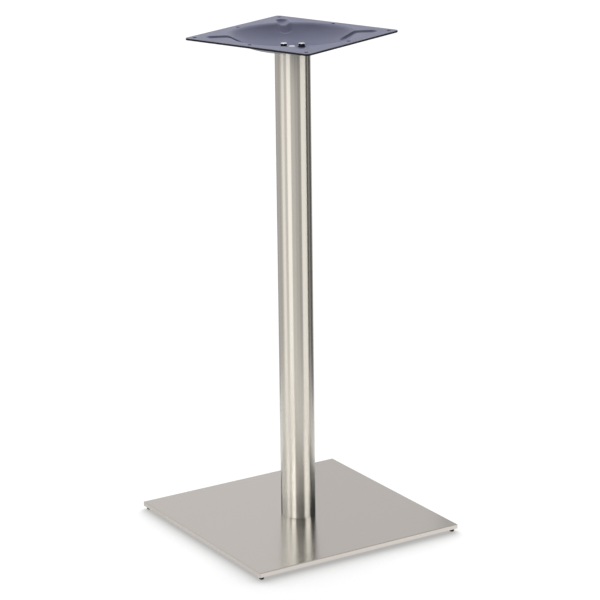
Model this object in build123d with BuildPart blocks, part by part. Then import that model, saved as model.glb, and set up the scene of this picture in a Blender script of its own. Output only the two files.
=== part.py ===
"""Bar-height pedestal table base: weighted square foot, round column and pressed top plate."""

import os
from math import asin, atan, cos, hypot, radians, sin, sqrt, tan

from build123d import *

os.makedirs("parts", exist_ok=True)

# Sizes are in millimetres and degrees. +Z is up, the floor is Z 0 and the column stands on the Z axis.
# The sides of the foot lie along X and Y.
overall_height = 1080.0

# Foot cover, folded from one stainless sheet, with a mitred seam open at each corner
base_side = 500.0
cover_depth = 10.0
cover_sheet = 1.2
cover_bend_radius = 2.0
cover_seam = 0.4
cover_seam_cut = 40.0

# Steel ballast plate, tucked up inside the cover
ballast_thickness = 8.0
ballast_clearance = 0.6
ballast_corner_radius = 4.0

# Rubber feet, held in the ballast by a pressed stem
floor_gap = 7.0
foot_inset = 9.0
foot_diameter = 12.0
foot_tread_diameter = 9.5
foot_edge_radius = 1.2
foot_stem_diameter = 6.0
foot_stem_clearance = 0.05
foot_stem_gap = 1.0

# Column tube, with a tapped disc welded flush into each end
column_diameter = 75.0
column_wall = 1.5
disc_clearance = 0.1
foot_disc_thickness = 12.0
head_disc_thickness = 12.0
disc_chamfer = 1.0
thread_clearance = 0.05

# Countersunk screws, up through the ballast and the cover into the column
base_screw_count = 4
base_screw_circle = 46.0
base_screw_start = 45.0
base_screw_diameter = 10.0
base_screw_head_diameter = 20.0
base_screw_head_angle = 90.0
base_screw_length = 20.0
base_screw_hole_clearance = 0.4
base_screw_seat_clearance = 0.1
base_screw_socket_flats = 6.0
base_screw_socket_depth = 3.5

# Hexagon bolts and washers, down through the top plate into the column
top_bolt_count = 3
top_bolt_circle = 43.0
top_bolt_start = 64.0
top_bolt_diameter = 8.0
top_bolt_flats = 13.0
top_bolt_head_height = 5.3
top_bolt_length = 16.0
top_bolt_hole_clearance = 0.5
top_bolt_crown_angle = 30.0
top_bolt_crown_share = 0.95
washer_diameter = 16.0
washer_thickness = 1.6
washer_bore_clearance = 0.2
screw_tip_chamfer = 1.0

# Top plate, pressed from one steel sheet and turned on the column as assembled
plate_side = 320.0
plate_sheet = 4.0
plate_corner_radius = 10.0
plate_edge_radius = 0.8
plate_turn = 21.0
plate_hole_diameter = 8.5
plate_hole_inset = 16.0

# Round dish with a soft rim, and four diagonal channels that run over the rim and down its wall
dish_depth = 28.0
dish_border = 27.0
dish_floor_margin = 1.0
dish_wall = 4.0
rim_radius = 25.0
channel_count = 4
channel_width = 26.0
channel_depth = 5.5
channel_end_land = 24.5
channel_descent = 34.0
channel_edge_radius = 4.0

# Levels
cover_top = floor_gap + cover_depth
ballast_top = cover_top - cover_sheet
ballast_bottom = ballast_top - ballast_thickness
dish_floor = overall_height - dish_depth
column_top = dish_floor - plate_sheet
column_length = column_top - cover_top

# Sizes that follow from the others
column_bore = column_diameter - 2 * column_wall
disc_diameter = column_bore - 2 * disc_clearance
ballast_side = base_side - 2 * (cover_sheet + ballast_clearance)
ballast_edge_chamfer = cover_bend_radius - cover_sheet
foot_pitch = base_side - 2 * foot_inset
foot_hole_radius = foot_stem_diameter / 2 + foot_stem_clearance
base_screw_hole_radius = base_screw_diameter / 2 + base_screw_hole_clearance
base_screw_tap_radius = base_screw_diameter / 2 + thread_clearance
top_bolt_hole_radius = top_bolt_diameter / 2 + top_bolt_hole_clearance
top_bolt_tap_radius = top_bolt_diameter / 2 + thread_clearance
plate_hole_pitch = plate_side - 2 * plate_hole_inset
channel_reach = plate_hole_pitch / sqrt(2) - channel_end_land
channel_radius = (channel_width**2 / 4 + channel_depth**2) / (2 * channel_depth)

# Dish section: a flat floor, a round bowl, a straight wall and a round rim, each tangent to the next.
# The wall's slope is the one at which they span the floor, the depth and the rim.
dish_rim_radius = plate_side / 2 - dish_border
dish_floor_radius = column_diameter / 2 + dish_floor_margin
dish_run = dish_rim_radius - dish_floor_radius + dish_wall
dish_half_slope = (sqrt(dish_run**2 + 4 * rim_radius * dish_depth) - dish_run) / (2 * rim_radius)
dish_slope = 2 * atan(dish_half_slope)
dish_bowl_radius = (dish_depth / sin(dish_slope) - dish_wall) / dish_half_slope - rim_radius
dish_edge = dish_rim_radius + rim_radius * dish_half_slope
channel_foot = dish_rim_radius - channel_descent + channel_width / 2 - dish_floor_radius
channel_foot_angle = asin(channel_foot / dish_bowl_radius)

# How near an edge lies to the pressed surface that it bounds
edge_tolerance = 0.02

# Planes of the turned top plate, and an upright plane through the column's axis
turn = radians(plate_turn)
plate_x = Vector(cos(turn), sin(turn), 0)
plate_face = Plane(origin=(0, 0, overall_height), x_dir=plate_x, z_dir=(0, 0, 1))
dish_face = Plane(origin=(0, 0, dish_floor), x_dir=plate_x, z_dir=(0, 0, 1))
head_face = Plane(origin=(0, 0, column_top), x_dir=plate_x, z_dir=(0, 0, 1))
channel_turn = turn + radians(180 / channel_count)
channel_out = Vector(cos(channel_turn), sin(channel_turn), 0)
channel_side = Vector(sin(channel_turn), -cos(channel_turn), 0)
channel_face = Plane(origin=plate_face.origin, x_dir=channel_out, z_dir=channel_side)
foot_under_face = Plane(origin=(0, 0, ballast_bottom), x_dir=(1, 0, 0), z_dir=(0, 0, -1))


def upright(level: float) -> Plane:
    """Upright plane through the Z axis, with its own origin at a level."""
    return Plane(origin=(0, 0, level), x_dir=(1, 0, 0), z_dir=(0, -1, 0))


def bowl_point(skin: float, slope: float) -> tuple[float, float]:
    """Point of the dish's bowl where it has a slope, on a surface that lies a skin below the pressed one."""
    radius = dish_bowl_radius + skin
    return (dish_floor_radius + radius * sin(slope), dish_bowl_radius - dish_depth - radius * cos(slope))


def rim_point(skin: float, slope: float) -> tuple[float, float]:
    """Point of the dish's rim where it has a slope, on a surface that lies a skin below the pressed one."""
    radius = rim_radius - skin
    return (dish_edge - radius * sin(slope), radius * cos(slope) - rim_radius)


def dish_line(skin: float) -> Curve:
    """Section of the dish from the column's axis to the flat, a skin below the pressed surface."""
    with BuildLine() as section:
        floor = Line((0, bowl_point(skin, 0)[1]), bowl_point(skin, 0))
        ThreePointArc(floor @ 1, bowl_point(skin, dish_slope / 2), bowl_point(skin, dish_slope))
        wall = Line(bowl_point(skin, dish_slope), rim_point(skin, dish_slope))
        ThreePointArc(wall @ 1, rim_point(skin, dish_slope / 2), rim_point(skin, 0))
    return section.line


def channel_form(skin: float) -> Part:
    """One channel as a rod with round ends that follows the flat, the rim and the dish, grown by a skin."""
    lift = channel_depth - channel_radius
    tip = (channel_reach - channel_width / 2, -lift)
    foot = bowl_point(lift, channel_foot_angle)
    tip_face = Plane(origin=channel_face.from_local_coords(tip), x_dir=channel_side, z_dir=-channel_out)
    with BuildPart() as rod:
        with BuildLine(channel_face) as path:
            Line(tip, rim_point(lift, 0))
            ThreePointArc(rim_point(lift, 0), rim_point(lift, dish_slope / 2), rim_point(lift, dish_slope))
            Line(rim_point(lift, dish_slope), bowl_point(lift, dish_slope))
            middle = bowl_point(lift, (dish_slope + channel_foot_angle) / 2)
            ThreePointArc(bowl_point(lift, dish_slope), middle, foot)
        with BuildSketch(tip_face):
            Circle(channel_radius + skin)
        sweep(path=path.wire())
        with Locations(channel_face.from_local_coords(tip), channel_face.from_local_coords(foot)):
            Sphere(channel_radius + skin)
    return rod.part


def pressed_level(reach: float) -> float:
    """Height of the dish's pressed surface, at a distance from the column's axis."""
    if reach >= dish_edge:
        return overall_height
    if reach >= rim_point(0, dish_slope)[0]:
        return overall_height - rim_radius + sqrt(rim_radius**2 - (dish_edge - reach) ** 2)
    if reach >= bowl_point(0, dish_slope)[0]:
        return overall_height - (dish_rim_radius - reach) * tan(dish_slope)
    run = max(reach - dish_floor_radius, 0)
    return dish_floor + dish_bowl_radius - sqrt(dish_bowl_radius**2 - run**2)


def is_channel_edge(edge: Edge) -> bool:
    """Whether an edge lies on the pressed surface and doesn't run round the column's axis."""
    points = [edge @ share for share in (0, 0.25, 0.5)]
    reaches = [hypot(point.X, point.Y) for point in points]
    heights = [point.Z - pressed_level(reach) for point, reach in zip(points, reaches)]
    return max(map(abs, heights)) < edge_tolerance and max(reaches) - min(reaches) > edge_tolerance


# Folded cover of the foot
with BuildPart() as base_cover:
    with BuildSketch(Plane.XY.offset(floor_gap)):
        Rectangle(base_side, base_side)
    extrude(amount=cover_depth)
    fillet(base_cover.edges().group_by(Axis.Z)[-1], cover_bend_radius)
    offset(amount=-cover_sheet, openings=base_cover.faces().sort_by(Axis.Z)[0])
    with BuildSketch(Plane.XY.offset(floor_gap)):
        with PolarLocations(base_side / sqrt(2), 4, start_angle=45):
            Rectangle(cover_seam_cut, cover_seam)
    extrude(amount=cover_depth - cover_bend_radius, mode=Mode.SUBTRACT)
    with BuildSketch(Plane.XY.offset(cover_top)):
        with PolarLocations(base_screw_circle / 2, base_screw_count, start_angle=base_screw_start):
            Circle(base_screw_hole_radius)
    extrude(amount=-cover_sheet, mode=Mode.SUBTRACT)

# Ballast plate
with BuildPart() as ballast_plate:
    with BuildSketch(Plane.XY.offset(ballast_bottom)):
        RectangleRounded(ballast_side, ballast_side, ballast_corner_radius)
        with GridLocations(foot_pitch, foot_pitch, 2, 2):
            Circle(foot_hole_radius, mode=Mode.SUBTRACT)
    extrude(amount=ballast_thickness)
    ballast_faces = ballast_plate.faces().filter_by(Axis.Z)
    chamfer([edge for face in ballast_faces for edge in face.outer_wire().edges()], ballast_edge_chamfer)
    with Locations(foot_under_face):
        with PolarLocations(base_screw_circle / 2, base_screw_count, start_angle=base_screw_start):
            CounterSinkHole(
                base_screw_hole_radius,
                base_screw_head_diameter / 2 + base_screw_seat_clearance,
                counter_sink_angle=base_screw_head_angle,
            )

# One rubber foot on its own axis, and its four places
with BuildPart() as rubber_foot:
    with BuildSketch(upright(0)):
        with BuildLine():
            Polyline(
                (0, 0),
                (foot_tread_diameter / 2, 0),
                (foot_diameter / 2, ballast_bottom),
                (foot_stem_diameter / 2, ballast_bottom),
                (foot_stem_diameter / 2, ballast_top - foot_stem_gap),
                (0, ballast_top - foot_stem_gap),
                close=True,
            )
        make_face()
    revolve(axis=Axis.Z)
    fillet(rubber_foot.edges().group_by(Axis.Z)[0], foot_edge_radius)

foot_places = {
    "foot_front_left": (-1, -1),
    "foot_front_right": (1, -1),
    "foot_rear_left": (-1, 1),
    "foot_rear_right": (1, 1),
}
feet = []
for foot_name, (side, depth) in foot_places.items():
    with BuildPart() as foot:
        with Locations((side * foot_pitch / 2, depth * foot_pitch / 2)):
            add(rubber_foot.part)
    foot.part.label = foot_name
    feet.append(foot.part)

# Column tube
with BuildPart() as column_tube:
    with BuildSketch(Plane.XY.offset(cover_top)):
        Circle(column_diameter / 2)
        Circle(column_bore / 2, mode=Mode.SUBTRACT)
    extrude(amount=column_length)

# Tapped disc in the column's foot
with BuildPart() as column_foot_disc:
    with BuildSketch(Plane.XY.offset(cover_top)):
        Circle(disc_diameter / 2)
        with PolarLocations(base_screw_circle / 2, base_screw_count, start_angle=base_screw_start):
            Circle(base_screw_tap_radius, mode=Mode.SUBTRACT)
    extrude(amount=foot_disc_thickness)
    chamfer(column_foot_disc.faces().sort_by(Axis.Z)[-1].outer_wire().edges(), disc_chamfer)

# Tapped disc in the column's head
with BuildPart() as column_head_disc:
    with BuildSketch(head_face):
        Circle(disc_diameter / 2)
        with PolarLocations(top_bolt_circle / 2, top_bolt_count, start_angle=top_bolt_start):
            Circle(top_bolt_tap_radius, mode=Mode.SUBTRACT)
    extrude(amount=-head_disc_thickness)
    chamfer(column_head_disc.faces().sort_by(Axis.Z)[0].outer_wire().edges(), disc_chamfer)

# Countersunk screw with a hexagon socket, head face at Z 0
with BuildPart() as base_screw:
    head_slope = radians(base_screw_head_angle / 2)
    head_height = (base_screw_head_diameter - base_screw_diameter) / 2 / tan(head_slope)
    with BuildSketch(upright(0)):
        with BuildLine():
            Polyline(
                (0, 0),
                (base_screw_head_diameter / 2, 0),
                (base_screw_diameter / 2, head_height),
                (base_screw_diameter / 2, base_screw_length - screw_tip_chamfer),
                (base_screw_diameter / 2 - screw_tip_chamfer, base_screw_length),
                (0, base_screw_length),
                close=True,
            )
        make_face()
    revolve(axis=Axis.Z)
    with BuildSketch():
        RegularPolygon(base_screw_socket_flats / 2, 6, major_radius=False)
    extrude(amount=base_screw_socket_depth, mode=Mode.SUBTRACT)

with BuildPart() as base_screws:
    with Locations((0, 0, ballast_bottom)):
        with PolarLocations(base_screw_circle / 2, base_screw_count, start_angle=base_screw_start):
            add(base_screw.part)

# Hexagon bolt, underside of the head at Z 0, with a turned crown on the head
with BuildPart() as top_bolt:
    with BuildSketch():
        RegularPolygon(top_bolt_flats / 2, 6, major_radius=False)
    extrude(amount=top_bolt_head_height)
    crown_reach = top_bolt_flats / sqrt(3)
    crown_flat = top_bolt_crown_share * top_bolt_flats / 2
    crown_drop = (crown_reach - crown_flat) * tan(radians(top_bolt_crown_angle))
    with BuildSketch(upright(0)):
        with BuildLine():
            Polyline(
                (0, 0),
                (crown_reach, 0),
                (crown_reach, top_bolt_head_height - crown_drop),
                (crown_flat, top_bolt_head_height),
                (0, top_bolt_head_height),
                close=True,
            )
        make_face()
    revolve(axis=Axis.Z, mode=Mode.INTERSECT)
    with BuildSketch():
        Circle(top_bolt_diameter / 2)
    extrude(amount=-top_bolt_length)
    chamfer(top_bolt.faces().sort_by(Axis.Z)[0].edges(), screw_tip_chamfer)

with BuildPart() as top_bolts:
    with Locations(dish_face.offset(washer_thickness)):
        with PolarLocations(top_bolt_circle / 2, top_bolt_count, start_angle=top_bolt_start):
            add(top_bolt.part)

# Washers under the bolt heads
with BuildPart() as top_washers:
    with BuildSketch(dish_face):
        with PolarLocations(top_bolt_circle / 2, top_bolt_count, start_angle=top_bolt_start):
            Circle(washer_diameter / 2)
            Circle(top_bolt_diameter / 2 + washer_bore_clearance, mode=Mode.SUBTRACT)
    extrude(amount=washer_thickness)

upper_line = dish_line(0)
middle_line = dish_line(plate_sheet / 2)
lower_line = dish_line(plate_sheet)

# What lies under the middle of the top plate's sheet, to trim the outsides of the channels to
with BuildPart() as under_plate:
    with BuildSketch(channel_face):
        with BuildLine():
            add(middle_line)
            Polyline(
                rim_point(plate_sheet / 2, 0),
                (plate_side, -plate_sheet / 2),
                (plate_side, -2 * dish_depth),
                (0, -2 * dish_depth),
                (0, bowl_point(plate_sheet / 2, 0)[1]),
            )
        make_face()
    revolve(axis=Axis.Z)

channel_hollow = channel_form(0)
channel_shell = channel_form(plate_sheet) & under_plate.part

# Top plate: the flat sheet with the dish set in it, the channels under both, and their hollows taken out
with BuildPart() as top_plate:
    with BuildSketch(plate_face):
        RectangleRounded(plate_side, plate_side, plate_corner_radius)
    extrude(amount=-plate_sheet)
    fillet(top_plate.faces().sort_by(Axis.Z)[-1].edges(), plate_edge_radius)
    with BuildSketch(plate_face):
        Circle(dish_edge)
    extrude(amount=-plate_sheet, mode=Mode.SUBTRACT)
    with BuildSketch(channel_face):
        with BuildLine():
            add(upper_line)
            add(lower_line)
            Line(rim_point(0, 0), rim_point(plate_sheet, 0))
            Line((0, -dish_depth), (0, -dish_depth - plate_sheet))
        make_face()
    revolve(axis=Axis.Z)
    with PolarLocations(0, channel_count):
        add(channel_shell)
    with PolarLocations(0, channel_count):
        add(channel_hollow, mode=Mode.SUBTRACT)
    fillet(top_plate.edges(Select.LAST).filter_by(is_channel_edge), channel_edge_radius)
    with Locations(plate_face):
        with GridLocations(plate_hole_pitch, plate_hole_pitch, 2, 2):
            Hole(plate_hole_diameter / 2, depth=plate_sheet)
        with PolarLocations(plate_hole_pitch / 2, 4):
            Hole(plate_hole_diameter / 2, depth=plate_sheet)
    with Locations(dish_face):
        with PolarLocations(top_bolt_circle / 2, top_bolt_count, start_angle=top_bolt_start):
            Hole(top_bolt_hole_radius, depth=plate_sheet)

base_cover.part.label = "base_cover"
ballast_plate.part.label = "ballast_plate"
column_tube.part.label = "column_tube"
column_foot_disc.part.label = "column_foot_disc"
column_head_disc.part.label = "column_head_disc"
base_screws.part.label = "base_screws"
top_bolts.part.label = "top_bolts"
top_washers.part.label = "top_washers"
top_plate.part.label = "top_plate"

export_step(base_cover.part, "parts/base_cover.step")
export_step(ballast_plate.part, "parts/ballast_plate.step")
export_step(column_tube.part, "parts/column_tube.step")
export_step(column_foot_disc.part, "parts/column_foot_disc.step")
export_step(column_head_disc.part, "parts/column_head_disc.step")
export_step(base_screws.part, "parts/base_screws.step")
export_step(top_bolts.part, "parts/top_bolts.step")
export_step(top_washers.part, "parts/top_washers.step")
export_step(top_plate.part, "parts/top_plate.step")
for foot_part in feet:
    export_step(foot_part, f"parts/{foot_part.label}.step")
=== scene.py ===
"""Looks of a pedestal table base: a brushed column on a weighted square foot, under a pressed plate."""

import logging
import math
from dataclasses import dataclass, field
from enum import Enum
from typing import Any, Callable

import bpy
from mathutils import Matrix, Vector


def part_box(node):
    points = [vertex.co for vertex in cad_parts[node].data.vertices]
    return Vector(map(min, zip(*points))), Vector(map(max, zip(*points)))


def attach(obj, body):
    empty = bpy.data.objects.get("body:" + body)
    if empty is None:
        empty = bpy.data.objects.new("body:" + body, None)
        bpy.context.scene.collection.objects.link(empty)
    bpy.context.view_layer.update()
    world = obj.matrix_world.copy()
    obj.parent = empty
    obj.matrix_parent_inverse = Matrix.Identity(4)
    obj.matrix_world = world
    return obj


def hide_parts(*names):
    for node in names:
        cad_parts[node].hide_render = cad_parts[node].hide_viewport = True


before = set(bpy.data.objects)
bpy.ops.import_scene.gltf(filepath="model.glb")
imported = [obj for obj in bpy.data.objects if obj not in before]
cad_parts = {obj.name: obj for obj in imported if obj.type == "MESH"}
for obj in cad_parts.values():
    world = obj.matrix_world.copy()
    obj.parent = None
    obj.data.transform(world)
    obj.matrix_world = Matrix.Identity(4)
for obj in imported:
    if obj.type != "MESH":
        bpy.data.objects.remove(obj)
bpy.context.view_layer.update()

LOG = logging.getLogger("pedestal_base")
MM = 0.001
BODY = "root"
# Nearly all values of a noise texture lie between these.
NOISE_RANGE = (0.3, 0.7)
# A wave texture turns by this many radians for each unit of its scale.
WAVE_RADIANS = 20.0
# A face counts as level when the upright part of its normal is larger than this.
LEVEL_NORMAL = 0.9
# The sockets of a node that mixes colours, by number because their names repeat.
MIX_FACTOR, MIX_FIRST, MIX_SECOND, MIX_RESULT = 0, 6, 7, 2


def linear(code: str) -> tuple[float, float, float, float]:
    """Turn an sRGB hex colour into the linear colour that a socket takes.

    Args:
        code: Six hex digits after a hash sign.

    Returns:
        Linear red, green and blue, and an alpha of 1.
    """
    channels = [int(code[i:i + 2], 16) / 255 for i in (1, 3, 5)]
    red, green, blue = (c / 12.92 if c <= 0.04045 else ((c + 0.055) / 1.055) ** 2.4 for c in channels)
    return red, green, blue, 1.0


WHITE = linear("#FFFFFF")


def add_node(
    tree: bpy.types.NodeTree,
    kind: str,
    settings: dict[str, Any] | None = None,
    inputs: dict[str | int, Any] | None = None,
) -> bpy.types.Node:
    """Add one node with its settings, its values and its links.

    Args:
        tree: The node tree that gets the node.
        kind: The node's type name.
        settings: Properties of the node itself.
        inputs: Sockets by name or number, each with a value or the output that feeds it.

    Returns:
        The new node.
    """
    node = tree.nodes.new(kind)
    for name, value in (settings or {}).items():
        setattr(node, name, value)
    for name, value in (inputs or {}).items():
        if isinstance(value, bpy.types.NodeSocket):
            tree.links.new(value, node.inputs[name])
        else:
            node.inputs[name].default_value = value
    return node


def new_material(name: str) -> bpy.types.Material:
    """Start a material with an empty node tree.

    Args:
        name: The material's name.

    Returns:
        The empty material.
    """
    material = bpy.data.materials.new(name)
    material.use_nodes = True
    material.node_tree.nodes.clear()
    return material


def per_size(millimetres: float) -> float:
    """Give the Object-coordinate scale at which one pattern cell has this size."""
    return 1.0 / (millimetres * MM)


class BrushLines(Enum):
    """How the abrasive belt ran over a brushed surface."""

    ROUND_TUBE = "round_tube"
    ALONG_SHEET = "along_sheet"


@dataclass(frozen=True)
class BrushedStainless:
    """Stainless steel brushed with a belt: lamps stretch into soft streaks across the fine lines."""

    name: str
    lines: BrushLines
    dark: str = "#BAB4AE"
    light: str = "#BDB7B1"
    roughness: float = 0.25
    roughness_swing: float = 0.005
    anisotropy: float = 0.98
    # The real lines are about 0.1 mm apart. They are drawn coarser, so that a close view shows them.
    line_pitch: float = 0.9
    line_length: float = 300.0
    line_height: float = 0.004
    line_strength: float = 0.08
    # A tube's lines lie a quarter of a turn from the direction that its radial tangent gives.
    tube_turn: float = 0.25
    # Across the lines on the top face, and up and down on the faces that the lines run along.
    sheet_tangent: tuple[float, float, float] = (1.0, 0.0, 0.3)

    def material(self) -> bpy.types.Material:
        """Build the brushed steel, with its lines round the tube or along the sheet.

        Returns:
            The finished material.
        """
        material = new_material(self.name)
        tree = material.node_tree
        place = add_node(tree, "ShaderNodeTexCoord").outputs["Object"]
        across, along = per_size(self.line_pitch), per_size(self.line_length)
        if self.lines is BrushLines.ROUND_TUBE:
            scale, turn = (along, along, across), self.tube_turn
            tangent = add_node(tree, "ShaderNodeTangent", {"direction_type": "RADIAL", "axis": "Z"})
        else:
            scale, turn = (across, along, across), 0.0
            tangent = add_node(tree, "ShaderNodeCombineXYZ", inputs=dict(enumerate(self.sheet_tangent)))
        stretched = add_node(tree, "ShaderNodeMapping", inputs={"Vector": place, "Scale": scale})
        lines = add_node(
            tree,
            "ShaderNodeTexNoise",
            inputs={"Vector": stretched.outputs[0], "Scale": 1.0, "Detail": 2.0, "Roughness": 0.5},
        )
        colour = add_node(tree, "ShaderNodeValToRGB", inputs={0: lines.outputs[0]})
        for stop, value, code in zip(colour.color_ramp.elements, NOISE_RANGE, (self.dark, self.light)):
            stop.position = value
            stop.color = linear(code)
        rough = add_node(
            tree,
            "ShaderNodeMapRange",
            inputs={
                "Value": lines.outputs[0],
                "From Min": NOISE_RANGE[0],
                "From Max": NOISE_RANGE[1],
                "To Min": self.roughness - self.roughness_swing,
                "To Max": self.roughness + self.roughness_swing,
            },
        )
        bump = add_node(
            tree,
            "ShaderNodeBump",
            inputs={
                "Strength": self.line_strength,
                "Distance": self.line_height * MM,
                "Height": lines.outputs[0],
            },
        )
        steel = add_node(
            tree,
            "ShaderNodeBsdfPrincipled",
            inputs={
                "Base Color": colour.outputs[0],
                "Metallic": 1.0,
                "Roughness": rough.outputs[0],
                "Anisotropic": self.anisotropy,
                "Anisotropic Rotation": turn,
                "Tangent": tangent.outputs[0],
                "Normal": bump.outputs[0],
            },
        )
        add_node(tree, "ShaderNodeOutputMaterial", inputs={"Surface": steel.outputs[0]})
        return material


@dataclass(frozen=True)
class CoatedPressing:
    """Pressed sheet steel under a baked satin coating: dark and blue, with a sprayed coat's faint skin.

    The upright cut edges are painted nearly black and matt, as painted shade for the dark that they show.
    """

    name: str = "slate_coating_baked_on_pressed_steel"
    dark: str = "#4C5070"
    light: str = "#535776"
    # Painted shade: the near black that the upright cut edges are given in place of the dark that they
    # show.
    edge_shade: str = "#1C1D23"
    roughness: float = 0.36
    roughness_swing: float = 0.03
    edge_shade_roughness: float = 0.9
    ior: float = 1.5
    cloud_size: float = 60.0
    cloud_range: tuple[float, float] = (0.35, 0.65)
    skin_size: float = 1.6
    skin_height: float = 0.02
    skin_strength: float = 0.5
    # The upright part of the normal, from an edge in full painted shade to a face in the coat's own colour.
    edge_band: tuple[float, float] = (0.05, 0.3)

    def material(self) -> bpy.types.Material:
        """Build the coating with its slow colour clouds and its sprayed skin.

        Returns:
            The finished material.
        """
        material = new_material(self.name)
        tree = material.node_tree
        surface = add_node(tree, "ShaderNodeTexCoord")
        place = surface.outputs["Object"]
        clouds = add_node(
            tree,
            "ShaderNodeTexNoise",
            inputs={"Vector": place, "Scale": per_size(self.cloud_size), "Detail": 3.0, "Roughness": 0.5},
        )
        skin = add_node(
            tree,
            "ShaderNodeTexNoise",
            inputs={"Vector": place, "Scale": per_size(self.skin_size), "Detail": 1.0, "Roughness": 0.4},
        )
        colour = add_node(tree, "ShaderNodeValToRGB", inputs={0: clouds.outputs[0]})
        for stop, value, code in zip(colour.color_ramp.elements, self.cloud_range, (self.dark, self.light)):
            stop.position = value
            stop.color = linear(code)
        rough = add_node(
            tree,
            "ShaderNodeMapRange",
            inputs={
                "Value": clouds.outputs[0],
                "From Min": self.cloud_range[0],
                "From Max": self.cloud_range[1],
                "To Min": self.roughness - self.roughness_swing,
                "To Max": self.roughness + self.roughness_swing,
            },
        )
        bump = add_node(
            tree,
            "ShaderNodeBump",
            inputs={
                "Strength": self.skin_strength,
                "Distance": self.skin_height * MM,
                "Height": skin.outputs[0],
            },
        )
        # Painted shade: by the upright part of the normal, upright edges blend from the coat's colour to
        # the near black edge colour.
        facing = add_node(tree, "ShaderNodeSeparateXYZ", inputs={0: surface.outputs["Normal"]})
        level = add_node(tree, "ShaderNodeMath", {"operation": "ABSOLUTE"}, {0: facing.outputs["Z"]})
        cover = add_node(
            tree,
            "ShaderNodeMapRange",
            inputs={
                "Value": level.outputs[0],
                "From Min": self.edge_band[0],
                "From Max": self.edge_band[1],
                "To Min": 0.0,
                "To Max": 1.0,
            },
        )
        both = add_node(
            tree,
            "ShaderNodeMix",
            {"data_type": "RGBA"},
            {MIX_FACTOR: cover.outputs[0], MIX_FIRST: linear(self.edge_shade), MIX_SECOND: colour.outputs[0]},
        )
        edge_roughness = add_node(
            tree,
            "ShaderNodeMix",
            {"data_type": "FLOAT"},
            {"Factor": cover.outputs[0], "A": self.edge_shade_roughness, "B": rough.outputs[0]},
        )
        coat = add_node(
            tree,
            "ShaderNodeBsdfPrincipled",
            inputs={
                "Base Color": both.outputs[MIX_RESULT],
                "Roughness": edge_roughness.outputs[0],
                "IOR": self.ior,
                "Normal": bump.outputs[0],
            },
        )
        add_node(tree, "ShaderNodeOutputMaterial", inputs={"Surface": coat.outputs[0]})
        return material


@dataclass(frozen=True)
class ZincPlating:
    """Steel fasteners plated with bright zinc: level faces are pale, and the sides are painted dark as
    painted shade.
    """

    name: str = "bright_zinc_plated_steel"
    # Painted shade: the near black that the upright sides are given in place of the dark dish that they
    # reflect.
    side: str = "#232428"
    dark: str = "#F2F3F4"
    light: str = "#FDFDFD"
    roughness: float = 0.16
    roughness_swing: float = 0.04
    bloom_size: float = 3.0
    # The upright part of the normal, from a side in full painted shade to a level face in the zinc's own
    # colour.
    shaded_side_band: tuple[float, float] = (0.3, 0.8)

    def material(self) -> bpy.types.Material:
        """Build the plating with its small uneven blooms and its sides painted dark as painted shade.

        Returns:
            The finished material.
        """
        material = new_material(self.name)
        tree = material.node_tree
        surface = add_node(tree, "ShaderNodeTexCoord")
        place = surface.outputs["Object"]
        bloom = add_node(
            tree,
            "ShaderNodeTexNoise",
            inputs={"Vector": place, "Scale": per_size(self.bloom_size), "Detail": 4.0, "Roughness": 0.6},
        )
        colour = add_node(tree, "ShaderNodeValToRGB", inputs={0: bloom.outputs[0]})
        for stop, value, code in zip(colour.color_ramp.elements, NOISE_RANGE, (self.dark, self.light)):
            stop.position = value
            stop.color = linear(code)
        # Painted shade: by the upright part of the normal, upright sides blend from the zinc's colour to
        # the dark side colour.
        facing = add_node(tree, "ShaderNodeSeparateXYZ", inputs={0: surface.outputs["Normal"]})
        level = add_node(tree, "ShaderNodeMath", {"operation": "ABSOLUTE"}, {0: facing.outputs["Z"]})
        unshaded_share = add_node(
            tree,
            "ShaderNodeMapRange",
            inputs={
                "Value": level.outputs[0],
                "From Min": self.shaded_side_band[0],
                "From Max": self.shaded_side_band[1],
                "To Min": 0.0,
                "To Max": 1.0,
            },
        )
        both = add_node(
            tree,
            "ShaderNodeMix",
            {"data_type": "RGBA"},
            {MIX_FACTOR: unshaded_share.outputs[0], MIX_FIRST: linear(self.side), MIX_SECOND: colour.outputs[0]},
        )
        rough = add_node(
            tree,
            "ShaderNodeMapRange",
            inputs={
                "Value": bloom.outputs[0],
                "From Min": NOISE_RANGE[0],
                "From Max": NOISE_RANGE[1],
                "To Min": self.roughness - self.roughness_swing,
                "To Max": self.roughness + self.roughness_swing,
            },
        )
        zinc = add_node(
            tree,
            "ShaderNodeBsdfPrincipled",
            inputs={"Base Color": both.outputs[MIX_RESULT], "Metallic": 1.0, "Roughness": rough.outputs[0]},
        )
        add_node(tree, "ShaderNodeOutputMaterial", inputs={"Surface": zinc.outputs[0]})
        return material


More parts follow.
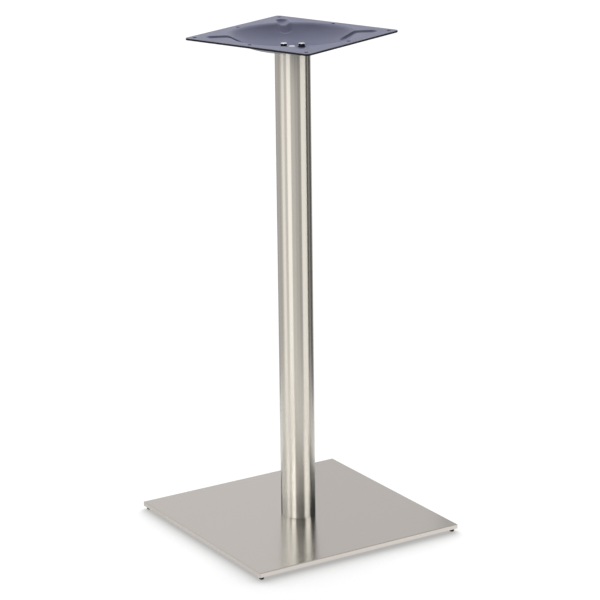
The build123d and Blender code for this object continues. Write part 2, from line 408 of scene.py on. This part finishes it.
@dataclass(frozen=True)
class TurnedMildSteel:
    """Mild steel faced on a lathe: grey, with fine rings left by the tool."""

    name: str = "mild_steel_turned"
    dark: str = "#85827E"
    light: str = "#989590"
    roughness: float = 0.38
    # A facing cut leaves rings about 0.2 mm apart. They are drawn coarser, so that a close view shows them.
    ring_pitch: float = 0.6
    ring_wander: float = 0.4
    ring_height: float = 0.02
    ring_strength: float = 0.3

    def material(self) -> bpy.types.Material:
        """Build the turned steel with its rings about the column's axis.

        Returns:
            The finished material.
        """
        material = new_material(self.name)
        tree = material.node_tree
        place = add_node(tree, "ShaderNodeTexCoord").outputs["Object"]
        rings = add_node(
            tree,
            "ShaderNodeTexWave",
            {"wave_type": "RINGS", "rings_direction": "Z"},
            {
                "Vector": place,
                "Scale": per_size(self.ring_pitch) * math.tau / WAVE_RADIANS,
                "Distortion": self.ring_wander,
                "Detail": 1.0,
            },
        )
        height = rings.outputs[1]
        colour = add_node(tree, "ShaderNodeValToRGB", inputs={0: height})
        for stop, code in zip(colour.color_ramp.elements, (self.dark, self.light)):
            stop.color = linear(code)
        bump = add_node(
            tree,
            "ShaderNodeBump",
            inputs={"Strength": self.ring_strength, "Distance": self.ring_height * MM, "Height": height},
        )
        steel = add_node(
            tree,
            "ShaderNodeBsdfPrincipled",
            inputs={
                "Base Color": colour.outputs[0],
                "Metallic": 1.0,
                "Roughness": self.roughness,
                "Normal": bump.outputs[0],
            },
        )
        add_node(tree, "ShaderNodeOutputMaterial", inputs={"Surface": steel.outputs[0]})
        return material


@dataclass(frozen=True)
class DullBlack:
    """A dull black skin, painted or moulded: nearly no gloss, a slightly dusty grain."""

    name: str
    dark: str
    light: str
    roughness: float
    grain_size: float
    grain_height: float
    grain_strength: float = 0.4
    roughness_swing: float = 0.06
    ior: float = 1.5

    def material(self) -> bpy.types.Material:
        """Build the dull black with its grain in colour, gloss and height.

        Returns:
            The finished material.
        """
        material = new_material(self.name)
        tree = material.node_tree
        place = add_node(tree, "ShaderNodeTexCoord").outputs["Object"]
        grain = add_node(
            tree,
            "ShaderNodeTexNoise",
            inputs={"Vector": place, "Scale": per_size(self.grain_size), "Detail": 5.0, "Roughness": 0.6},
        )
        colour = add_node(tree, "ShaderNodeValToRGB", inputs={0: grain.outputs[0]})
        for stop, value, code in zip(colour.color_ramp.elements, NOISE_RANGE, (self.dark, self.light)):
            stop.position = value
            stop.color = linear(code)
        rough = add_node(
            tree,
            "ShaderNodeMapRange",
            inputs={
                "Value": grain.outputs[0],
                "From Min": NOISE_RANGE[0],
                "From Max": NOISE_RANGE[1],
                "To Min": self.roughness - self.roughness_swing,
                "To Max": self.roughness + self.roughness_swing,
            },
        )
        bump = add_node(
            tree,
            "ShaderNodeBump",
            inputs={
                "Strength": self.grain_strength,
                "Distance": self.grain_height * MM,
                "Height": grain.outputs[0],
            },
        )
        black = add_node(
            tree,
            "ShaderNodeBsdfPrincipled",
            inputs={
                "Base Color": colour.outputs[0],
                "Roughness": rough.outputs[0],
                "IOR": self.ior,
                "Normal": bump.outputs[0],
            },
        )
        add_node(tree, "ShaderNodeOutputMaterial", inputs={"Surface": black.outputs[0]})
        return material


def dress(node: str, material: bpy.types.Material) -> None:
    """Give a CAD node a finished material in place of its plain one.

    Args:
        node: The node's name.
        material: The material for all of its faces.
    """
    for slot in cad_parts[node].material_slots:
        slot.material = material
    LOG.info("%s dressed in %s", node, material.name)


def start_piece() -> None:
    """Leave edit mode and deselect everything, so that the next operators act on the new piece alone."""
    if bpy.context.object is not None and bpy.context.object.mode != "OBJECT":
        bpy.ops.object.mode_set(mode="OBJECT")
    bpy.ops.object.select_all(action="DESELECT")


class Pick(Enum):
    """What a selection in edit mode is made of."""

    FACE = "FACE"
    EDGE = "EDGE"


def pick(piece: bpy.types.Object, kind: Pick, test: Callable[[Any], bool]) -> None:
    """Select the faces or edges of the active piece that pass a test, and stay in edit mode.

    Args:
        piece: The active object.
        kind: Faces or edges.
        test: Says whether one face or edge is selected.
    """
    bpy.ops.object.mode_set(mode="EDIT")
    bpy.ops.mesh.select_mode(type=kind.value)
    bpy.ops.mesh.select_all(action="DESELECT")
    bpy.ops.object.mode_set(mode="OBJECT")
    for item in piece.data.polygons if kind is Pick.FACE else piece.data.edges:
        item.select = test(item)
    bpy.ops.object.mode_set(mode="EDIT")


@dataclass
class Column:
    """The round upright: a brushed tube on the foot, closed inside by a disc at each end."""

    segments: int = 192
    wall: float = 1.5 * MM
    edge_break: float = 0.9 * MM
    edge_segments: int = 2
    smooth_angle: float = 35.0
    tube_finish: BrushedStainless = field(
        default_factory=lambda: BrushedStainless(
            "stainless_steel_belt_brushed_tube", BrushLines.ROUND_TUBE, dark="#BBB6AD", light="#BDB8AF"
        )
    )
    disc_finish: TurnedMildSteel = field(default_factory=TurnedMildSteel)

    def build_tube(self) -> bpy.types.Object:
        """Model the tube smoothly round, with its bore and slightly broken end edges.

        Returns:
            The tube, which stands for the CAD tube.
        """
        low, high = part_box("column_tube")
        radius = high.x
        start_piece()
        bpy.ops.mesh.primitive_cylinder_add(
            vertices=self.segments,
            radius=radius,
            depth=high.z - low.z,
            location=(0, 0, (high.z + low.z) / 2),
        )
        tube = bpy.context.active_object
        tube.name = tube.data.name = "column_tube_brushed"
        bpy.ops.object.transform_apply(location=True, rotation=True, scale=True)
        pick(tube, Pick.FACE, lambda face: abs(face.normal.z) > LEVEL_NORMAL)
        bpy.ops.mesh.inset(thickness=self.wall)
        bpy.ops.mesh.bridge_edge_loops()

        def on_rim(edge: bpy.types.MeshEdge) -> bool:
            """Say whether an edge runs round the outside of a tube end.

            Args:
                edge: An edge of the tube.

            Returns:
                True for an edge of either outer rim.
            """
            ends = [tube.data.vertices[i].co for i in edge.vertices]
            level = abs(ends[0].z - ends[1].z) < MM
            return level and all(abs(end.xy.length - radius) < self.wall / 2 for end in ends)

        pick(tube, Pick.EDGE, on_rim)
        bpy.ops.mesh.bevel(offset=self.edge_break, segments=self.edge_segments, affect="EDGES")
        bpy.ops.mesh.select_all(action="SELECT")
        bpy.ops.mesh.normals_make_consistent(inside=False)
        bpy.ops.object.mode_set(mode="OBJECT")
        bpy.ops.object.shade_smooth_by_angle(angle=math.radians(self.smooth_angle))
        return tube

    def build(self) -> bpy.types.Object:
        """Build the tube and dress it and its two discs.

        Returns:
            The tube, for the cards that light it alone.
        """
        tube = self.build_tube()
        tube.data.materials.clear()
        tube.data.materials.append(self.tube_finish.material())
        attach(tube, BODY)
        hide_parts("column_tube")
        LOG.info("%s built with %d faces", tube.name, len(tube.data.polygons))
        disc = self.disc_finish.material()
        for node in ("column_foot_disc", "column_head_disc"):
            dress(node, disc)
        return tube


@dataclass
class Foot:
    """The weighted foot: a folded cover over a ballast plate, which stands on four rubber feet."""

    cover_finish: BrushedStainless = field(
        default_factory=lambda: BrushedStainless(
            "stainless_steel_belt_brushed_sheet", BrushLines.ALONG_SHEET, roughness=0.20, anisotropy=0.5
        )
    )
    ballast_finish: DullBlack = field(
        default_factory=lambda: DullBlack(
            "steel_plate_black_primer",
            dark="#1B1C1E",
            light="#232426",
            roughness=0.62,
            grain_size=9.0,
            grain_height=0.05,
        )
    )
    foot_finish: DullBlack = field(
        default_factory=lambda: DullBlack(
            "rubber_moulded_black",
            dark="#131313",
            light="#1C1C1B",
            roughness=0.78,
            grain_size=0.8,
            grain_height=0.03,
        )
    )

    def build(self) -> None:
        """Dress the cover, the ballast plate and the four feet."""
        dress("base_cover", self.cover_finish.material())
        dress("ballast_plate", self.ballast_finish.material())
        rubber = self.foot_finish.material()
        for node in ("foot_front_left", "foot_front_right", "foot_rear_left", "foot_rear_right"):
            dress(node, rubber)


@dataclass
class TopPlate:
    """The dished plate that carries the table top, pressed from sheet and coated."""

    finish: CoatedPressing = field(default_factory=CoatedPressing)

    def build(self) -> None:
        """Dress the plate."""
        dress("top_plate", self.finish.material())


@dataclass
class Fasteners:
    """The screws under the foot, and the bolts and washers in the dish."""

    finish: ZincPlating = field(default_factory=ZincPlating)

    def build(self) -> None:
        """Dress every fastener in the same plating."""
        zinc = self.finish.material()
        for node in ("base_screws", "top_bolts", "top_washers"):
            dress(node, zinc)


@dataclass(frozen=True)
class ViewPoint:
    """The camera's place round the object and its lens, for a square picture.

    Angles are in degrees and lengths in metres, apart from the sensor's millimetres.
    """

    azimuth: float = 58.123
    elevation: float = 16.493
    roll: float = -0.712
    distance: float = 5.4248
    aim_right: float = 0.00921
    aim_height: float = 0.50363
    focal_pixels: float = 2533.3
    picture_pixels: float = 600.0
    sensor: float = 36.0

    def build(self) -> None:
        """Place the camera and make it the scene's own."""
        azimuth, elevation, roll = (math.radians(a) for a in (self.azimuth, self.elevation, self.roll))
        back = Vector(
            (
                math.sin(azimuth) * math.cos(elevation),
                -math.cos(azimuth) * math.cos(elevation),
                math.sin(elevation),
            )
        )
        level = Vector((math.cos(azimuth), math.sin(azimuth), 0.0))
        upright = back.cross(level)
        right = math.cos(roll) * level + math.sin(roll) * upright
        up = math.cos(roll) * upright - math.sin(roll) * level
        place = Vector((0, 0, self.aim_height)) + level * self.aim_right + back * self.distance
        camera = bpy.data.objects.new("camera", bpy.data.cameras.new("camera"))
        camera.data.sensor_width = self.sensor
        camera.data.lens = self.focal_pixels / self.picture_pixels * self.sensor
        camera.matrix_world = Matrix.Translation(place) @ Matrix((right, up, back)).transposed().to_4x4()
        bpy.context.scene.collection.objects.link(camera)
        bpy.context.scene.camera = camera
        LOG.info("camera placed")


class Shown(Enum):
    """Whether a ring of cards is shown by the column alone or by all the rest."""

    COLUMN = "INCLUDE"
    REST = "EXCLUDE"


class Tone(Enum):
    """What a card is made of: its glow in the column, its echo, and the glow of the foot before it.

    The echo is the glow in steel that is seen in other steel. A lit card is brighter than white, so it
    still looks bright there, and a dark one fades.
    """

    LAMP = (1.85, 4.2, 0.30)
    SOFTBOX = (1.55, 3.3, 0.35)
    SCRIM = (1.05, 1.6, 0.30)
    VEIL = (0.75, 1.65, 0.20)
    WHITE_CARD = (0.97, 0.6, 0.25)
    PALE_CARD = (0.80, 0.45, 0.22)
    GREY_CARD = (0.60, 0.2, 0.22)
    DARK_CARD = (0.45, 0.1, 0.10)
    BLACK_CARD = (0.15, 0.05, 0.08)
    WALL = (0.72, 0.1, 0.0)

    def __init__(self, glow: float, echo: float, foot: float) -> None:
        """Keep the three strengths by name.

        Args:
            glow: The card's glow in the column.
            echo: Its glow in steel that is seen in other steel.
            foot: The glow of the foot before it, in the column.
        """
        self.glow = glow
        self.echo = echo
        self.foot = foot


class Side(Enum):
    """What the foot and the plate show on a side of the tent: its glow, and that of the floor before it."""

    REAR_LEFT = (0.95, 0.0)
    LEFT = (0.88, 0.04)
    FRONT = (0.79, 0.30)
    RIGHT = (0.67, 0.0)
    REAR_RIGHT = (0.86, 0.0)

    def __init__(self, glow: float, floor: float) -> None:
        """Keep the two strengths by name."""
        self.glow = glow
        self.floor = floor


@dataclass(frozen=True)
class Card:
    """One upright card of the light tent, from one angle to another."""

    start: float
    end: float
    tone: Tone
    side: Side


@dataclass(frozen=True)
class Tent:
    """A ring of cards round the object, seen only in reflections and only by some of the steel."""

    name: str
    shown: Shown
    radius: float
    strip_start: float
    strip_level: float
    height: float = 2.4
    segments: int = 360
    # Steel seen in steel is tinted twice, so its cards are cooler.
    echo_colour: str = "#F3FAFF"
    # How many mirrors the light has met: one for steel seen directly, two for steel seen in steel.
    bounces: tuple[float, float] = (1.0, 2.0)

    def levels(self, card: Card) -> tuple[float, float]:
        """Give the glow of a card and of the strip before it, in the steel that shows this ring.

        Args:
            card: The card.

        Returns:
            The card's own glow, and its strip's.
        """
        if self.shown is Shown.COLUMN:
            return card.tone.glow, card.tone.foot
        return card.side.glow, card.side.floor

    def glow(self, name: str, strength: float, echo: float, clear: bool) -> bpy.types.Material:
        """Build the glow of a card or of the strip in front of it.

        Args:
            name: The material's name.
            strength: The glow in steel that is seen directly.
            echo: The glow in steel that is seen in other steel.
            clear: Whether what lies behind shows through.

        Returns:
            The glowing material.
        """
        material = new_material(name)
        tree = material.node_tree
        depth = add_node(tree, "ShaderNodeLightPath").outputs["Glossy Depth"]
        span = {"Value": depth, "From Min": self.bounces[0], "From Max": self.bounces[1]}
        level = add_node(tree, "ShaderNodeMapRange", inputs=span | {"To Min": strength, "To Max": echo})
        second = add_node(tree, "ShaderNodeMapRange", inputs=span | {"To Min": 0.0, "To Max": 1.0})
        colour = add_node(
            tree,
            "ShaderNodeMix",
            {"data_type": "RGBA"},
            {MIX_FACTOR: second.outputs[0], MIX_FIRST: WHITE, MIX_SECOND: linear(self.echo_colour)},
        )
        surface = add_node(
            tree,
            "ShaderNodeEmission",
            inputs={"Color": colour.outputs[MIX_RESULT], "Strength": level.outputs[0]},
        )
        if clear:
            behind = add_node(tree, "ShaderNodeBsdfTransparent")
            both = {0: surface.outputs[0], 1: behind.outputs[0]}
            surface = add_node(tree, "ShaderNodeAddShader", inputs=both)
        add_node(tree, "ShaderNodeOutputMaterial", inputs={"Surface": surface.outputs[0]})
        return material

    def build(self, cards: tuple[Card, ...], camera_azimuth: float, column: bpy.types.Object) -> None:
        """Stand the cards up and say which steel shows them.

        Args:
            cards: The cards, which close the ring.
            camera_azimuth: The direction of the camera, where the cards' angles start.
            column: The column's tube.
        """
        start_piece()
        bpy.ops.mesh.primitive_cylinder_add(
            vertices=self.segments,
            radius=self.radius,
            depth=self.height,
            end_fill_type="NOTHING",
            location=(0, 0, self.height / 2),
        )
        ring = bpy.context.active_object
        ring.name = self.name
        bpy.ops.object.transform_apply(location=True, rotation=True, scale=True)
        ring.data.materials.clear()

        def at_foot(edge: bpy.types.MeshEdge) -> bool:
            """Say whether an edge lies at the bottom of the ring."""
            return all(ring.data.vertices[i].co.z < MM for i in edge.vertices)

        # From the bottom of the ring a strip runs inwards, just above the foot's cover or the floor.
        pick(ring, Pick.EDGE, at_foot)
        bpy.ops.mesh.extrude_edges_move()
        bpy.ops.transform.translate(value=(0, 0, self.strip_level))
        bpy.ops.mesh.extrude_edges_move()
        inward = self.strip_start / self.radius
        bpy.ops.transform.resize(value=(inward, inward, 1.0))
        bpy.ops.object.mode_set(mode="OBJECT")
        for card in cards:
            name, clear = f"card_{card.start:g}_{card.end:g}", self.shown is Shown.COLUMN
            ring.data.materials.append(self.glow(name, self.levels(card)[0], card.tone.echo, clear))
        for card in cards:
            name, strip = f"strip_{card.start:g}_{card.end:g}", self.levels(card)[1]
            ring.data.materials.append(self.glow(name, strip, strip, True))
        for face in ring.data.polygons:
            # The camera's side lies at its azimuth less 90 degrees. The angle is kept within -180 to 180.
            angle = math.degrees(math.atan2(face.center.y, face.center.x)) - (camera_azimuth - 90)
            angle = (angle + 180) % 360 - 180
            flat = abs(face.normal.z) > LEVEL_NORMAL
            for index, card in enumerate(cards):
                if card.start <= angle < card.end:
                    face.material_index = index + len(cards) * flat
        ring.visible_camera = False
        ring.visible_diffuse = False
        ring.visible_shadow = False
        ring.visible_transmission = False
        ring.visible_volume_scatter = False
        group = bpy.data.collections.new(f"{self.name}_steel")
        group.objects.link(column)
        group.collection_objects[0].light_linking.link_state = self.shown.value
        ring.light_linking.receiver_collection = group
        LOG.info("%s stood up with %d cards", self.name, len(cards))


def eye_rays(tree: bpy.types.NodeTree) -> bpy.types.NodeSocket:
    """Add the test for rays that the eye follows, straight or by way of a mirror or glass.

    Args:
        tree: The node tree of the floor or the sky.

    Returns:
        The output that is 1 for such rays and 0 for others.
    """
    path = add_node(tree, "ShaderNodeLightPath").outputs
    result = path["Is Camera Ray"]
    for kind in ("Is Glossy Ray", "Is Transmission Ray"):
        either = {0: result, 1: path[kind]}
        result = add_node(tree, "ShaderNodeMath", {"operation": "MAXIMUM"}, either).outputs[0]
    return result


@dataclass
class Studio:
    """A pale floor, soft light all round, and a tent of light and dark cards for the steel to reflect."""

    camera_azimuth: float
    column: bpy.types.Object
    floor_size: float = 60.0
    floor_colour: str = "#7E7E7E"
    floor_lift: float = 0.84
    # How white the floor is where the given share of the sky is open above it.
    shade_steps: tuple[tuple[float, str], ...] = (
        (0.28, "#BDBCBA"),
        (0.50, "#D3D2D1"),
        (0.75, "#E4E4E3"),
        (0.86, "#F2F2F2"),
        (0.94, "#FFFFFF"),
    )
    shade_reach: float = 0.25
    shade_lean: float = 62.0
    shade_samples: int = 16
    sky: float = 0.16
    sky_seen: float = 1.0
    lamp_strength: float = 3.75
    lamp_spread: float = 50.0
    lamp_lean: float = 46.0
    # The angles run from the camera's side of the object towards the right of the picture.
    cards: tuple[Card, ...] = (
        Card(-180, -150, Tone.WALL, Side.REAR_LEFT),
        Card(-150, -140, Tone.DARK_CARD, Side.REAR_LEFT),
        Card(-140, -90, Tone.VEIL, Side.REAR_LEFT),
        Card(-90, -80, Tone.SCRIM, Side.LEFT),
        Card(-80, -60, Tone.SOFTBOX, Side.LEFT),
        Card(-60, -42, Tone.SCRIM, Side.LEFT),
        Card(-42, -17, Tone.LAMP, Side.LEFT),
        Card(-17, 8, Tone.WHITE_CARD, Side.FRONT),
        Card(8, 28, Tone.PALE_CARD, Side.FRONT),
        Card(28, 47, Tone.GREY_CARD, Side.FRONT),
        Card(47, 86, Tone.SOFTBOX, Side.FRONT),
        Card(86, 100, Tone.BLACK_CARD, Side.RIGHT),
        Card(100, 115, Tone.DARK_CARD, Side.RIGHT),
        Card(115, 140, Tone.BLACK_CARD, Side.RIGHT),
        Card(140, 150, Tone.GREY_CARD, Side.RIGHT),
        Card(150, 180, Tone.WALL, Side.REAR_RIGHT),
    )
    tents: tuple[Tent, ...] = (
        Tent("column_tent", Shown.COLUMN, 0.68, strip_start=0.10, strip_level=20.5 * MM),
        Tent("open_tent", Shown.REST, 0.69, strip_start=0.25, strip_level=0.5 * MM),
    )

    def build_floor(self) -> None:
        """Lay the floor, white to the camera and in reflections, with the object's soft shadow in front."""
        start_piece()
        bpy.ops.mesh.primitive_plane_add(size=self.floor_size, location=(0, 0, 0))
        floor = bpy.context.active_object
        floor.name = "floor"
        material = new_material("studio_floor_matt_white")
        tree = material.node_tree
        # The soft light leans in from behind the object, so its near shadow falls to the front.
        azimuth, lean = math.radians(self.camera_azimuth), math.radians(self.shade_lean)
        behind = (-math.sin(azimuth) * math.sin(lean), math.cos(azimuth) * math.sin(lean), math.cos(lean))
        light_side = add_node(tree, "ShaderNodeCombineXYZ", inputs=dict(enumerate(behind)))
        near = add_node(
            tree,
            "ShaderNodeAmbientOcclusion",
            {"samples": self.shade_samples},
            {"Distance": self.shade_reach, "Normal": light_side.outputs[0]},
        )
        # Steel shows the floor without that shade, as bright as the rest of the studio.
        mirrored = add_node(tree, "ShaderNodeLightPath").outputs["Is Glossy Ray"]
        open_floor = add_node(
            tree, "ShaderNodeMath", {"operation": "MAXIMUM"}, {0: near.outputs["AO"], 1: mirrored}
        )
        shade = add_node(tree, "ShaderNodeValToRGB", inputs={0: open_floor.outputs[0]})
        steps = shade.color_ramp.elements
        while len(steps) < len(self.shade_steps):
            steps.new(1.0)
        for step, (openness, white) in zip(steps, self.shade_steps):
            step.position = openness
            step.color = linear(white)
        lift = add_node(
            tree, "ShaderNodeMath", {"operation": "MULTIPLY"}, {0: eye_rays(tree), 1: self.floor_lift}
        )
        colour = add_node(
            tree,
            "ShaderNodeMix",
            {"data_type": "RGBA", "blend_type": "MULTIPLY"},
            {MIX_FACTOR: 1.0, MIX_FIRST: shade.outputs[0], MIX_SECOND: linear(self.floor_colour)},
        )
        matt = add_node(tree, "ShaderNodeBsdfDiffuse", inputs={"Color": colour.outputs[MIX_RESULT]})
        glow = add_node(
            tree, "ShaderNodeEmission", inputs={"Color": shade.outputs[0], "Strength": lift.outputs[0]}
        )
        both = add_node(tree, "ShaderNodeAddShader", inputs={0: matt.outputs[0], 1: glow.outputs[0]})
        add_node(tree, "ShaderNodeOutputMaterial", inputs={"Surface": both.outputs[0]})
        floor.data.materials.append(material)
        LOG.info("floor laid")

    def build_sky(self) -> None:
        """Make the even soft light, white to the camera and in reflections."""
        world = bpy.data.worlds.new("studio_light")
        world.use_nodes = True
        bpy.context.scene.world = world
        tree = world.node_tree
        tree.nodes.clear()
        soft = add_node(tree, "ShaderNodeBackground", inputs={"Color": WHITE, "Strength": self.sky})
        white = add_node(tree, "ShaderNodeBackground", inputs={"Color": WHITE, "Strength": self.sky_seen})
        mixed = add_node(
            tree,
            "ShaderNodeMixShader",
            inputs={0: eye_rays(tree), 1: soft.outputs[0], 2: white.outputs[0]},
        )
        add_node(tree, "ShaderNodeOutputWorld", inputs={"Surface": mixed.outputs[0]})
        LOG.info("sky made")

    def build_lamp(self) -> None:
        """Hang one very wide soft lamp high above the object and well behind it."""
        data = bpy.data.lights.new("overhead_softbox", "SUN")
        data.energy = self.lamp_strength
        data.angle = math.radians(self.lamp_spread)
        lamp = bpy.data.objects.new("overhead_softbox", data)
        lamp.rotation_euler = (-math.radians(self.lamp_lean), 0, math.radians(self.camera_azimuth))
        lamp.visible_camera = False
        lamp.visible_glossy = False
        bpy.context.scene.collection.objects.link(lamp)
        LOG.info("lamp hung")

    def build(self) -> None:
        """Make the floor, the soft light and the cards."""
        self.build_floor()
        self.build_sky()
        self.build_lamp()
        for tent in self.tents:
            tent.build(self.cards, self.camera_azimuth, self.column)


def main() -> None:
    """Build the object's pieces in order, then the studio and the camera."""
    logging.basicConfig(level=logging.INFO, format="%(name)s: %(message)s")
    bpy.context.scene.view_settings.view_transform = "Standard"
    tube = Column().build()
    Foot().build()
    TopPlate().build()
    Fasteners().build()
    view_point = ViewPoint()
    view_point.build()
    Studio(camera_azimuth=view_point.azimuth, column=tube).build()


if __name__ == "__main__":
    main()
